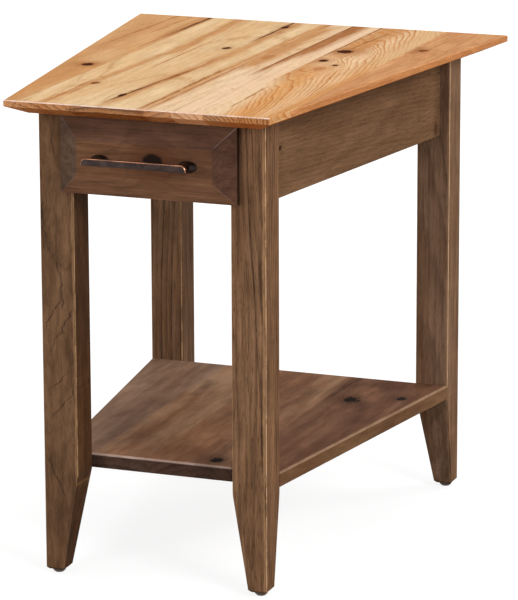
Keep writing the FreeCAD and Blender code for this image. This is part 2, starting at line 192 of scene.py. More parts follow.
def buildKnot():
    tree, given, out = newGroup(
        "knotEye", dict(Place=origin, Centre=origin, Size=0.006, Long=1.4, Ragged=1.1),
        ["Core", "Halo", "Lift"])
    look = knotLook
    across, along, through = axes(tree, vectorCalc(tree, "SUBTRACT", given["Place"], given["Centre"]))
    along = calc(tree, "DIVIDE", along, given["Long"])
    flat = fromAxes(tree, across, along, product(tree, through, look["deep"]))
    edge = calc(tree, "SUBTRACT", noise(tree, given["Place"], **look["edge"])[0], noiseMiddle)
    reach = calc(tree, "DIVIDE", lengthOf(tree, flat), given["Size"])
    reach = calc(tree, "ADD", reach, product(tree, edge, given["Ragged"]))
    square = product(tree, reach, reach)
    spread = calc(tree, "EXPONENT", product(tree, square, look["liftFall"]))
    return putOut(
        tree, out,
        Core=remap(tree, reach, *look["core"], 1.0, 0.0),
        Halo=calc(tree, "EXPONENT", product(tree, square, look["haloFall"])),
        Lift=product(tree, spread, given["Size"], look["lift"]))


# A streak or a band of other colour that runs along the board between two points
streakLook = dict(swayDraw=(0.3, 1.0, 0.3), sway=dict(scale=14.0, detail=3.0), swayReach=4.0,
                  wiggle=dict(scale=110.0), wiggleReach=3.0,
                  swell=dict(scale=34.0), swellSpan=(0.36, 0.64, -0.5, 0.35),
                  fadeIn=(-0.02, 0.22), fadeOut=(0.78, 1.02),
                  torn=dict(stretch=0.06, scale=420.0, detail=3.0), tornSpan=(0.3, 0.6, 0.55, 1.0))


def buildStreak():
    tree, given, out = newGroup(
        "streakLine", dict(Place=origin, Start=origin, Stop=(0, 1, 0), Width=0.004, Ragged=0.004, Swell=0.0),
        ["Mask"])
    look = streakLook
    here, start, stop = (axes(tree, given[label]) for label in ("Place", "Start", "Stop"))

    def gap(last, first):
        return calc(tree, "SUBTRACT", last, first)

    share = calc(tree, "DIVIDE", gap(here[1], start[1]), gap(stop[1], start[1]))
    line = calc(tree, "ADD", start[0], product(tree, gap(stop[0], start[0]), share))
    sway = noise(tree, vectorCalc(tree, "MULTIPLY", given["Place"], look["swayDraw"]), **look["sway"])[0]
    swayReach = product(tree, given["Ragged"], look["swayReach"])
    line = calc(tree, "MULTIPLY_ADD", gap(sway, noiseMiddle), swayReach, line)
    along = fromAxes(tree, start[0], here[1], 0.0)
    wiggle = noise(tree, along, **look["wiggle"])[0]
    wiggleReach = product(tree, given["Ragged"], given["Swell"], look["wiggleReach"])
    line = calc(tree, "MULTIPLY_ADD", gap(wiggle, noiseMiddle), wiggleReach, line)
    swell = remap(tree, noise(tree, along, **look["swell"])[0], *look["swellSpan"])
    swell = calc(tree, "MULTIPLY_ADD", swell, given["Swell"], 1.0)
    off = calc(tree, "DIVIDE", gap(here[0], line), product(tree, given["Width"], swell))
    body = calc(tree, "EXPONENT", product(tree, off, off, -1.0))
    ends = product(tree, remap(tree, share, *look["fadeIn"]), remap(tree, share, *look["fadeOut"], 1.0, 0.0))
    torn = grainNoise(tree, given["Place"], **look["torn"])[0]
    return putOut(tree, out, Mask=product(tree, body, ends, remap(tree, torn, *look["tornSpan"])))


# Rubbed-through arrises and the painted highlight along them: the rounded edges, whose normal lies
# between two sides
arrisLook = dict(edge=(0.22, 0.5), under=(-0.3, -0.1), worn=dict(scale=46.0, detail=4.0, rough=0.65),
                 wornSpan=(0.56, 0.42))


def buildArris():
    tree, given, out = newGroup("arrisWearAndHighlight", dict(Place=origin, Patchy=0.5), ["Mask"])
    look = arrisLook
    normal = addNode(tree, "ShaderNodeNewGeometry").outputs["Normal"]
    x, y, z = axes(tree, vectorCalc(tree, "ABSOLUTE", normal))
    most = calc(tree, "MAXIMUM", calc(tree, "MAXIMUM", x, y), z)
    least = calc(tree, "MINIMUM", calc(tree, "MINIMUM", x, y), z)
    total = calc(tree, "ADD", calc(tree, "ADD", x, y), z)
    second = calc(tree, "SUBTRACT", calc(tree, "SUBTRACT", total, most), least)
    worn = remap(tree, noise(tree, given["Place"], **look["worn"])[0], *look["wornSpan"])
    keep = calc(tree, "SUBTRACT", 1.0, product(tree, given["Patchy"], worn))
    above = remap(tree, axes(tree, normal)[2], *look["under"])
    return putOut(tree, out, Mask=product(tree, remap(tree, second, *look["edge"]), above, keep))


# Hand marks that vary the sheen
sheenLook = dict(smear=dict(scale=11.0, detail=5.0, rough=0.6, twist=0.6), smearShare=0.8,
                 speck=dict(scale=420.0), speckShare=0.2, span=(0.3, 0.7))


def buildSheen():
    tree, given, out = newGroup("handSheen", dict(Place=origin, Low=0.3, High=0.5), ["Rough"])
    look = sheenLook
    smear = product(tree, noise(tree, given["Place"], **look["smear"])[0], look["smearShare"])
    speck = product(tree, noise(tree, given["Place"], **look["speck"])[0], look["speckShare"])
    both = calc(tree, "ADD", smear, speck)
    rough = remap(tree, both, *look["span"], given["Low"], given["High"], smooth=False)
    return putOut(tree, out, Rough=rough)


rings = buildRings()
knotEye = buildKnot()
streakLine = buildStreak()
arrisWearAndHighlight = buildArris()
handSheen = buildSheen()
print("shared finishes ready")

# Hickory: what a board has unless its own dictionary says otherwise
# its pith is a point across, along and through the board, and a row of painted face light holds an axis,
# a side, a colour factor and, where the default span doesn't fit, the span of the normal that it fades in
# and out over; such a row paints light or shade onto the faces that the lamps light or shade differently
woodDefaults = dict(
    grain="y", turn=0, lean=0.0, wander=0.012, curl=0.0, veinWide=0.0022, veinLimit=0.36,
    knots=[], heart=[], streaks=[], faces=[],
    broadSpan=(0.36, 0.66), fibreSpan=(0.3, 0.72), cloudSpan=(0.34, 0.66),
    paintedFaceSpan=(0.72, 0.95), endSpan=(0.55, 0.95), highlightSideSpan=(0.2, 0.5),
    arcRing=-0.35, arcFibre=0.7, arcBroad=0.4, arcSpan=(0.34, 0.58),
    bumpRing=0.4, bumpFibre=0.5, bumpDeep=0.0004)
lineDefaults = dict(strength=0.8, ragged=0.003, swell=1.0)
heartDefaults = dict(lineDefaults, swell=0.0)
knotDefaults = dict(long=1.4, ragged=1.1, halo=0.35, dark=1.0)
grainOrder = {"y": (0, 1, 2), "z": (0, 2, 1), "x": (2, 0, 1), "side": (2, 1, 0)}


# Board coordinates from object coordinates: across, along the grain, through the thickness
def boardPlace(tree, grain, turn):
    place = addNode(tree, "ShaderNodeTexCoord").outputs["Object"]
    if turn:
        spin = (0, 0, math.radians(turn))
        place = addNode(tree, "ShaderNodeMapping", {"Vector": place, "Rotation": spin}).outputs[0]
    part = axes(tree, place)
    return fromAxes(tree, *(part[axis] for axis in grainOrder[grain]))


def hickory(name, board):
    wood = {**woodDefaults, **board}
    material, tree = newMaterial(name)
    place = boardPlace(tree, wood["grain"], wood["turn"])

    def tint(colour, mask, share, target):
        return mixColour(tree, product(tree, mask, share), colour, (*target, 1))

    def streaked(colour, line):
        mask = placeGroup(tree, streakLine, Place=place, Start=(*line["start"], 0), Stop=(*line["stop"], 0),
                          Width=line["width"], Ragged=line["ragged"], Swell=line["swell"])[0]
        return tint(colour, mask, line["strength"], line["colour"])

    knots = []
    lift = 0.0
    for knot in wood["knots"]:
        knot = {**knotDefaults, "haloColour": wood["late"], "colour": wood["knotColour"], **knot}
        eye = placeGroup(tree, knotEye, Place=place, Centre=knot["at"], Size=knot["size"],
                         Long=knot["long"], Ragged=knot["ragged"])
        lift = calc(tree, "ADD", lift, eye["Lift"])
        knots.append((knot, eye))
    veinLine = min(wood["veinLimit"], wood["veinWide"] * wood["density"])
    figure = placeGroup(tree, rings, Place=place, Pith=wood["pith"], Lean=wood["lean"], Lift=lift,
                        Density=wood["density"], Wander=wood["wander"], Curl=wood["curl"], Line=veinLine)
    # ground colour, from pale to warm, then the heartwood
    ground = remap(tree, figure["Broad"], *wood["broadSpan"])
    colour = mixColour(tree, ground, (*wood["pale"], 1), (*wood["warm"], 1))
    for line in wood["heart"]:
        colour = streaked(colour, {**heartDefaults, **line})
    # growth rings, bands, veins, fibre and pores darken it
    colour = tint(colour, figure["Ring"], wood["ringDark"], wood["late"])
    colour = tint(colour, figure["Band"], wood["band"], wood["bandColour"])
    colour = tint(colour, figure["Vein"], wood["vein"], wood["veinColour"])
    fibre = remap(tree, figure["Fibre"], *wood["fibreSpan"], 1.0 + wood["fibre"], 1.0 - wood["fibre"],
                  smooth=False)
    mottle = remap(tree, figure["Cloud"], *wood["cloudSpan"], 1.0 - wood["mottle"], 1.0 + wood["mottle"],
                   smooth=False)
    colour = mixColour(tree, 1.0, colour, greyColour(tree, product(tree, fibre, mottle)), "MULTIPLY")
    colour = tint(colour, figure["Pore"], wood["pore"], wood["poreColour"])
    # streaks and knots
    for line in wood["streaks"]:
        colour = streaked(colour, {**lineDefaults, **line})
    for knot, eye in knots:
        colour = tint(colour, eye["Halo"], knot["halo"], knot["haloColour"])
        colour = tint(colour, eye["Core"], knot["dark"], knot["colour"])
    # painted light and shade: faces that the lamps light or shade differently get their own colour factor,
    # then the end grain, which drinks more finish
    normal = axes(tree, addNode(tree, "ShaderNodeNewGeometry").outputs["Normal"])
    for axis, sign, factor, *span in wood["faces"]:
        facing = product(tree, normal[axis], sign)
        mask = remap(tree, facing, *(span[:2] or wood["paintedFaceSpan"]))
        if len(span) > 2:
            mask = product(tree, mask, remap(tree, facing, *span[2:], 1.0, 0.0))
        colour = mixColour(tree, mask, colour, mixColour(tree, 1.0, colour, (*factor, 1), "MULTIPLY"))
    alongAxis = grainOrder[wood["grain"]][1]
    endFace = remap(tree, calc(tree, "ABSOLUTE", normal[alongAxis]), *wood["endSpan"])
    arcs = product(tree, figure["Broad"], wood["arcBroad"])
    arcs = calc(tree, "MULTIPLY_ADD", figure["Fibre"], wood["arcFibre"], arcs)
    arcs = calc(tree, "MULTIPLY_ADD", figure["Ring"], wood["arcRing"], arcs)
    arcs = remap(tree, arcs, *wood["arcSpan"])
    endTone = mixColour(tree, arcs, (*wood["endColour"], 1), (*wood["endPale"], 1))
    colour = mixColour(tree, product(tree, endFace, wood["endDark"]), colour, endTone)
    # arrises rubbed through to lighter wood, and the painted highlight along them, which a board can keep
    # to the arrises on one side
    arris = placeGroup(tree, arrisWearAndHighlight, Place=place, Patchy=wood["patchy"])[0]
    if "highlightSide" in wood:
        axis, sign = wood["highlightSide"]
        arris = product(tree, arris, remap(tree, product(tree, normal[axis], sign), *wood["highlightSideSpan"]))
    colour = tint(colour, arris, wood["wearAndHighlight"], wood["wearAndHighlightColour"])
    # sheen and relief
    low, high = wood["sheen"]
    rough = placeGroup(tree, handSheen, Place=place, Low=low, High=high)["Rough"]
    height = product(tree, figure["Fibre"], wood["bumpFibre"])
    height = calc(tree, "MULTIPLY_ADD", figure["Ring"], wood["bumpRing"], height)
    height = calc(tree, "SUBTRACT", height, figure["Pore"])
    relief = {"Strength": wood["bump"], "Distance": wood["bumpDeep"], "Height": height}
    bump = addNode(tree, "ShaderNodeBump", relief).outputs[0]
    addSurface(tree, colour, rough, bump, {"Specular IOR Level": wood["specular"]})
    return material


def dress(node, material):
    for slot in nodes[node].material_slots:
        slot.material = material


# Square-cut pieces get a small eased edge, so that their corners catch the light
easing = dict(weld=0.00001, flat=1.0, corner=15.0, segments=2)  # angles in degrees


def ease(node, width):
    weld = nodes[node].modifiers.new("weld", "WELD")
    weld.merge_threshold = easing["weld"]
    flat = nodes[node].modifiers.new("flat", "DECIMATE")
    flat.decimate_type = "DISSOLVE"
    flat.angle_limit = math.radians(easing["flat"])
    edge = nodes[node].modifiers.new("edge", "BEVEL")
    edge.width = width
    edge.segments = easing["segments"]
    edge.limit_method = "ANGLE"
    edge.angle_limit = math.radians(easing["corner"])


# The photographed top: boards of mixed sap and heart wood
frontFace = -0.26865  # the front legs' front face, from which depth on the boards is counted
topZ = 0.6096  # the top's upper face
perMetre = 1000  # places and sizes on the boards are in millimetres
# span of normals on the reverse bevel, where the top boards get painted shade
underBevelShade = (0.72, 0.90, 0.965, 0.985)  # slope of the reverse bevel, not the flat underside


def spot(x, y):
    return (x / perMetre, y / perMetre + frontFace)


def knotAt(x, y, z, size, **more):
    return dict(at=(*spot(x, y), z), size=size / perMetre, **more)


def band(x, y, x2, y2, width, colour, **more):
    return dict(start=spot(x, y), stop=spot(x2, y2), width=width / perMetre, colour=colour, **more)


sap = (0.735, 0.53, 0.305)
sapWarm = (0.69, 0.45, 0.235)
sapPink = (0.78, 0.55, 0.36)
heartTan = (0.53, 0.265, 0.108)
heartBrown = (0.39, 0.16, 0.058)
heartDark = (0.19, 0.060, 0.018)
veinBlack = (0.052, 0.012, 0.004)
knotRed = (0.30, 0.10, 0.030)
# the pink along the boards' front arrises is a painted highlight, kept off their other arrises
topCommon = dict(
    pale=sap, warm=sapWarm, late=(0.46, 0.215, 0.075), bandColour=heartTan, veinColour=(0.36, 0.155, 0.052),
    poreColour=(0.24, 0.10, 0.036), knotColour=veinBlack, endColour=(0.17, 0.052, 0.017),
    endPale=(0.49, 0.225, 0.090), endDark=0.85, endSpan=(0.2, 0.62), ringDark=0.34, band=0.2, vein=0.42,
    veinWide=0.0016, fibre=0.10, mottle=0.05, pore=0.35, density=150.0, bump=0.06, sheen=(0.40, 0.56),
    specular=0.001, wearAndHighlight=0.85, wearAndHighlightColour=(0.90, 0.70, 0.60), patchy=0.35, highlightSide=(1, -1))
# each board's reverse bevel is darkened by painted shade
topBoards = {
    "top_board_1": dict(
        topCommon, pith=(-0.05, 0, 0.50), lean=0.10, endColour=(0.29, 0.110, 0.041),
        endPale=(0.58, 0.270, 0.128), faces=[(2, -1, (0.90, 0.53, 0.34), *underBevelShade)],
        pale=(0.665, 0.40, 0.198), warm=(0.59, 0.315, 0.132), band=0.4,
        knots=[knotAt(-173, 208, topZ, 9.0, halo=0.8, haloColour=knotRed, long=1.2)],
        heart=[
            band(-235, 640, -160, -160, 22, heartTan, strength=1.0, ragged=0.01),
            band(-176, 260, -168, -200, 26, (0.52, 0.245, 0.09), strength=0.9, ragged=0.006),
            band(-168, 740, -164, 380, 9, heartTan, strength=1.4),
            band(-180, 330, -176, 215, 17, (0.68, 0.43, 0.22), strength=0.7),
        ],
        streaks=[
            band(-157, 660, -160, 400, 5.5, heartBrown, strength=0.7, ragged=0.0012, swell=0.0),
            band(-157, 640, -160, 440, 2.4, veinBlack, strength=1.1, ragged=0.0012, swell=0.5),
            band(-160, 500, -161, 330, 2.4, heartBrown, strength=1.0, ragged=0.001),
            band(-203, 650, -214, 330, 2.2, heartBrown, strength=1.1, ragged=0.0012),
            band(-182, 680, -190, 420, 1.6, heartBrown, strength=0.8, ragged=0.0012),
        ]),
    "top_board_2": dict(
        topCommon, pith=(-0.20, 0, 0.40), lean=0.04, endColour=(0.18, 0.053, 0.016),
        endPale=(0.47, 0.185, 0.065), faces=[(2, -1, (0.56, 0.27, 0.13), *underBevelShade)],
        knots=[knotAt(-112, 92, topZ, 6.6, dark=0.9, colour=heartDark, halo=0.55, haloColour=heartTan)],
        heart=[
            band(-122, 740, -100, 280, 9, heartTan, strength=1.3, ragged=0.004),
            band(-106, 440, -121, -140, 7, heartTan, strength=1.1, ragged=0.005),
        ],
        streaks=[
            band(-88, 410, -87, 215, 1.6, heartBrown, strength=1.1, ragged=0.0006),
            band(-123, 125, -119, -50, 1.7, heartBrown, strength=1.1, ragged=0.0014),
        ]),
    "top_board_3": dict(
        topCommon, pith=(-0.03, 0, 0.30), lean=0.06, endColour=(0.095, 0.025, 0.008),
        endPale=(0.34, 0.115, 0.035), faces=[(2, -1, (0.40, 0.175, 0.081), *underBevelShade)],
        warm=(0.66, 0.425, 0.22),
        knots=[
            knotAt(-35, 553, topZ, 5.5, long=2.2, halo=0.4, haloColour=knotRed),
            knotAt(-50, 378, topZ, 6.6, halo=0.4, haloColour=knotRed),
            knotAt(-49, 28, topZ, 4.6, long=3.0, halo=0.4, haloColour=heartTan),
        ],
        heart=[
            band(-30, 740, -27, 230, 8, heartTan, strength=1.1, ragged=0.004),
            band(-26, 400, -46, -80, 8, heartTan, strength=1.1, ragged=0.004),
            band(8, 760, 6, -160, 5, heartTan, strength=1.4, ragged=0.002),
        ],
        streaks=[
            band(-37, 640, -35, 400, 4.5, heartBrown, strength=0.6, ragged=0.0012, swell=0.0),
            band(-37, 620, -36, 430, 2.0, veinBlack, strength=1.0, ragged=0.0012, swell=0.5),
            band(-31, 330, -34, 110, 1.9, heartBrown, strength=1.1, ragged=0.0014),
            band(-31, 250, -52, -30, 4.0, heartBrown, strength=0.6, ragged=0.0014, swell=0.0),
            band(-32, 230, -51, -25, 1.7, heartDark, strength=1.2, ragged=0.0014, swell=0.5),
            band(-42, 110, -51, -15, 1.8, veinBlack, strength=1.1, ragged=0.001, swell=0.5),
            band(4, 260, 5, -60, 1.8, heartDark, strength=0.9, ragged=0.002),
        ]),
    "top_board_4": dict(
        topCommon, pith=(0.10, 0, 0.42), lean=0.05, endColour=(0.17, 0.050, 0.016),
        endPale=(0.47, 0.180, 0.064), faces=[(2, -1, (0.58, 0.276, 0.138), *underBevelShade)],
        pale=(0.765, 0.555, 0.355), warm=(0.72, 0.485, 0.28),
        knots=[
            knotAt(
                24, 333, topZ, 8.0, dark=0.7, colour=heartBrown, halo=1.0, haloColour=heartTan, long=2.6),
        ],
        heart=[
            band(13, 840, 15, -170, 4, heartBrown, strength=1.1, ragged=0.001),
            band(20, 600, 25, 220, 10, heartTan, strength=1.6),
        ]),
    "top_board_5": dict(
        topCommon, pith=(-0.10, 0, 0.35), lean=0.03, endColour=(0.35, 0.140, 0.057),
        endPale=(0.64, 0.325, 0.165), faces=[(2, -1, (0.83, 0.456, 0.275), *underBevelShade)], pale=sapPink,
        warm=(0.745, 0.51, 0.315), ringDark=0.16, band=0.05,
        heart=[
            band(60, 900, 54, 300, 13, (0.36, 0.14, 0.045), strength=1.5, ragged=0.0008),
            band(56, 560, 47, 190, 6, heartBrown, strength=1.3, ragged=0.0006),
            band(48, 700, 48.5, 215, 2.2, heartDark, strength=0.9, ragged=0.0004),
            band(82, 900, 82, 300, 5, sapPink, strength=1.6, ragged=0.0006),
        ],
        streaks=[band(62, 118, 64, 106, 2.0, heartTan, strength=0.6)]),
    "top_board_6": dict(
        topCommon, pith=(0.086, -0.30, 0.580), lean=0.17, density=265.0, ringDark=1.7,
        endColour=(0.15, 0.042, 0.012), endPale=(0.46, 0.180, 0.060),
        faces=[(2, -1, (0.67, 0.318, 0.156), *underBevelShade)], vein=0.6, wander=0.024, curl=0.004,
        late=(0.52, 0.205, 0.058), veinColour=(0.44, 0.165, 0.045), pale=(0.80, 0.575, 0.355),
        warm=(0.72, 0.45, 0.235),
        knots=[
            knotAt(103, 405, topZ, 12.0, halo=0.75, haloColour=knotRed, long=1.1),
            knotAt(100, 333, topZ, 7.0, halo=0.6, haloColour=knotRed),
            knotAt(125, 307, topZ, 4.4, halo=0.5, haloColour=knotRed),
            knotAt(114, 276, topZ, 8.0, dark=0.7, colour=heartBrown, halo=0.5, long=1.6),
        ],
        heart=[
            band(106, 860, 108, 330, 22, heartTan, strength=1.3, ragged=0.003),
            band(100, 330, 152, -190, 24, (0.65, 0.33, 0.12), strength=1.2, ragged=0.003),
            band(158, 860, 173, 190, 17, (0.61, 0.345, 0.155), strength=1.3, ragged=0.002),
            band(88, 380, 92, 140, 10, heartBrown, strength=0.5, ragged=0.002),
            band(178, 320, 170, -190, 9, (0.60, 0.295, 0.11), strength=1.1, ragged=0.001),
        ],
        streaks=[
            band(84, 230, 106, -170, 15, (0.76, 0.55, 0.345), strength=1.0, ragged=0.002, swell=0.0),
            band(160, 900, 174, 260, 15, (0.74, 0.525, 0.30), strength=0.5, ragged=0.002, swell=0.0),
            band(97, 150, 103, -10, 1.4, heartBrown, strength=1.2, ragged=0.001),
            band(88, 660, 88, 320, 1.8, heartDark, strength=0.9, ragged=0.0005),
            band(113, 560, 104, 420, 1.6, heartDark, strength=0.8, ragged=0.001),
        ]),
    "top_board_7": dict(
        topCommon, pith=(0.30, 0, 0.42), lean=0.08, pale=(0.64, 0.335, 0.155), warm=(0.54, 0.255, 0.112),
        late=(0.42, 0.175, 0.065), band=0.45, bandColour=(0.45, 0.185, 0.07), curl=0.006, vein=0.55,
        fibre=0.13, pore=0.45, density=210.0,
        # painted shade on the reverse bevel, and painted light tinting the right edge
        faces=[
            (2, -1, (0.78, 0.58, 0.45), *underBevelShade),
            (0, 1, (0.98, 0.84, 0.70)),
        ],
        knots=[knotAt(196, 445, topZ, 7.0, halo=0.6, haloColour=knotRed, colour=heartDark)],
        heart=[
            band(205, 520, 214, 420, 13, (0.64, 0.35, 0.16), strength=0.7),
            band(186, 480, 186, 410, 7, heartDark, strength=0.5),
        ]),
}
for name, wood in topBoards.items():
    dress(name, hickory(name + "_hickory", wood))
print("top dressed")

# Stained base: the same wood under a brown stain, rubbed lighter along its arrises, partly wear and
# partly a painted highlight
stainCommon = dict(
    pale=(0.205, 0.112, 0.058), warm=(0.145, 0.073, 0.036), late=(0.068, 0.032, 0.016),
    bandColour=(0.056, 0.027, 0.015), veinColour=(0.022, 0.012, 0.009), poreColour=(0.030, 0.016, 0.010),
    knotColour=(0.016, 0.009, 0.007), endColour=(0.020, 0.011, 0.009), endPale=(0.060, 0.032, 0.020),
    endDark=0.85, ringDark=0.6, band=0.45, vein=0.6, fibre=0.18, mottle=0.16, pore=0.5, density=150.0,
    bump=0.12, sheen=(0.42, 0.6), specular=0.006, wearAndHighlight=0.85, wearAndHighlightColour=(0.46, 0.27, 0.135), patchy=0.6)
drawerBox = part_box("drawer_front")
frontBevel = 0.027
mitrePast = 0.004  # how far a painted highlight runs past the corner
# the two spans below pick the drawer front's bevels and right edge for painted light and shade
bevelLightSpan = (0.25, 0.4)  # takes in the mitred bevels
edgeShadowSpan = (0.8, 0.95)  # the square edge alone
legRun = (0.66, -0.06)  # past both ends of a leg, because a line fades at its own ends
apronTurn = 8.1  # degrees that a side apron stands off the front-to-back line


# painted highlight along a mitre of the drawer front, from the field's corner to the front's corner
def mitreHighlight(right, up, strength):
    low, high = drawerBox
    cornerX = (high if right > 0 else low)[0]
    cornerZ = (high if up > 0 else low)[2]
    inner = (cornerZ - up * frontBevel, cornerX - right * frontBevel)
    outer = (cornerZ + up * mitrePast, cornerX + right * mitrePast)
    return dict(start=inner, stop=outer, width=0.0006, ragged=0.0001, strength=strength,
                colour=(0.34, 0.24, 0.21))


# dark line in a leg's figure
def blackLine(x, z, x2, z2):
    return dict(start=(x / perMetre, z / perMetre), stop=(x2 / perMetre, z2 / perMetre), width=0.0011,
                ragged=0.0042, strength=0.85, colour=(0.030, 0.019, 0.015))


# painted highlight beside a leg's front-right arris
def arrisHighlightLine(x):
    start, stop = ((x / perMetre, z) for z in legRun)
    return dict(start=start, stop=stop, width=0.0009, ragged=0.0008, strength=0.55,
                colour=(0.40, 0.225, 0.11))


stained = {
    "leg_front_left": dict(
        stainCommon, grain="z", pith=(-0.118, 0.3, -0.20), lean=0.10, density=60.0, wander=0.03, curl=0.014,
        vein=0.3, veinWide=0.003, ringDark=0.3, band=0.3, pore=0.4, mottle=0.26, pale=(0.165, 0.088, 0.046),
        # painted shade darkens the inner right side
        warm=(0.118, 0.059, 0.030), faces=[(0, 1, (0.66, 0.58, 0.50))],
        streaks=[
            blackLine(-145.2, 488, -137.2, 414),
            blackLine(-139.5, 436, -119.3, 378),
            blackLine(-120.2, 396, -119.2, 338),
            blackLine(-119.0, 360, -144.5, 310),
            blackLine(-102.0, 346, -127.5, 303),
            blackLine(-123.0, 318, -139.0, 283),
            blackLine(-112.5, 267, -138.0, 242),
            blackLine(-101.0, 247, -144.0, 199),
            blackLine(-147.0, 158, -118.0, 96),
            # painted highlight beside the front-right arris
            arrisHighlightLine(-105.0),
        ]),
    "leg_front_right": dict(
        stainCommon, grain="z", pith=(0.24, 0.3, -0.10), lean=0.03, density=190.0, wander=0.018, vein=0.6,
        ringDark=0.7, band=0.5, pore=0.7, fibre=0.26, pale=(0.240, 0.129, 0.069),
        # a brighter painted highlight on the arrises, and painted light tinting the right side
        warm=(0.170, 0.086, 0.044), wearAndHighlightColour=(0.60, 0.36, 0.19), faces=[(0, 1, (1.00, 0.94, 0.87))],
        streaks=[
            # painted highlights beside the front-right arris
            arrisHighlightLine(145.6),
            arrisHighlightLine(144.4),
        ]),
    "leg_back_left": dict(
        stainCommon, grain="z", pith=(-0.26, 0.3, 0.30), lean=0.02, density=170.0, wander=0.014, band=0.45,
        pale=(0.182, 0.100, 0.056)),
    "leg_back_right": dict(
        stainCommon, grain="z", pith=(0.17, 0.3, 0.10), lean=0.05, density=170.0, wander=0.014, band=0.35,
        # a brighter painted highlight on the arrises and beside the front-right arris, painted light on the
        # right side and a painted bluish sheen on the front
        vein=0.3, pale=(0.215, 0.122, 0.068), wearAndHighlightColour=(0.66, 0.42, 0.25), patchy=0.3,
        faces=[
            (0, 1, (1.12, 1.11, 1.10)),
            (1, -1, (1.0, 1.02, 1.14)),
        ],
        streaks=[arrisHighlightLine(211.6)]),
    "side_apron_right": dict(
        stainCommon, grain="side", turn=apronTurn, pith=(0.40, -0.10, 0.10), lean=0.10, density=190.0,
        wander=0.014, band=0.12, pore=0.6, vein=0.12, ringDark=0.4, fibre=0.16, mottle=0.07,
        pale=(0.212, 0.112, 0.057),
        knots=[
            dict(
                at=(0.548, -0.173, 0.164), size=0.0034, dark=0.85, colour=(0.040, 0.015, 0.009), halo=0.35),
            # painted shade: this dark patch at the lower back end stands for the shaded corner where the
            # apron meets the back leg
            dict(
                at=(0.498, 0.250, 0.164), size=0.010, long=0.5, dark=0.5, halo=0.4,
                colour=(0.045, 0.018, 0.010)),
        ]),
    "side_apron_left": dict(
        stainCommon, grain="side", turn=-apronTurn, pith=(0.50, 0.05, -0.04), lean=0.04, density=150.0,
        wander=0.02),
    "rear_apron": dict(
        stainCommon, grain="x", pith=(0.53, 0.0, 0.16), lean=0.05, density=150.0, wander=0.02),
    "front_top_rail": dict(stainCommon, grain="x", pith=(0.45, 0.0, -0.16)),
    "front_lower_rail": dict(stainCommon, grain="x", pith=(0.45, 0.0, -0.16)),
    "drawer_front": dict(
        stainCommon, grain="x", pith=(0.30, 0.06, 0.30), lean=0.04, density=120.0, wander=0.016,
        pale=(0.176, 0.082, 0.042), warm=(0.119, 0.053, 0.029), band=0.3, ringDark=0.3, vein=0.05, pore=0.4,
        fibre=0.22, wearAndHighlight=0.0, endDark=0.0, mottle=0.14,
        # painted light and shade: sheen on the top and left bevels, light on the bottom one, shade on the
        # right one, and a painted shadow on the right edge, in the gap beside the leg
        faces=[
            (2, 1, (0.91, 0.98, 1.16), *bevelLightSpan),
            (2, -1, (1.2, 1.24, 1.28), *bevelLightSpan),
            (0, -1, (0.79, 1.03, 1.34), *bevelLightSpan),
            (0, 1, (0.72, 0.745, 0.89), *bevelLightSpan),
            (0, 1, (0.32, 0.32, 0.32), *edgeShadowSpan),
        ],
        knots=[
            dict(
                at=(0.541, 0.0115, -0.292), size=0.0115, long=1.3, ragged=0.35, halo=0.9,
                haloColour=(0.085, 0.030, 0.015)),
        ],
        heart=[
            dict(
                start=(0.560, 0.045), stop=(0.560, 0.150), width=0.030, strength=0.35,
                colour=(0.075, 0.036, 0.022)),
        ],
        # painted highlights along the mitres, strongest at the upper right
        streaks=[
            mitreHighlight(1, 1, 0.9),
            mitreHighlight(-1, 1, 0.25),
            mitreHighlight(1, -1, 0.2),
            mitreHighlight(-1, -1, 0.25),
        ]),
}
for name, wood in stained.items():
    dress(name, hickory(name + "_stain", wood))
frontEase = 0.0012
railEase = 0.0008
ease("drawer_front", frontEase)
for name in ("side_apron_left", "side_apron_right", "rear_apron", "front_top_rail", "front_lower_rail"):
    ease(name, railEase)

# The shelf: the stained wood again, paler and redder
shelfZ = 0.1485  # the shelf's upper face
smoke = (0.135, 0.066, 0.042)
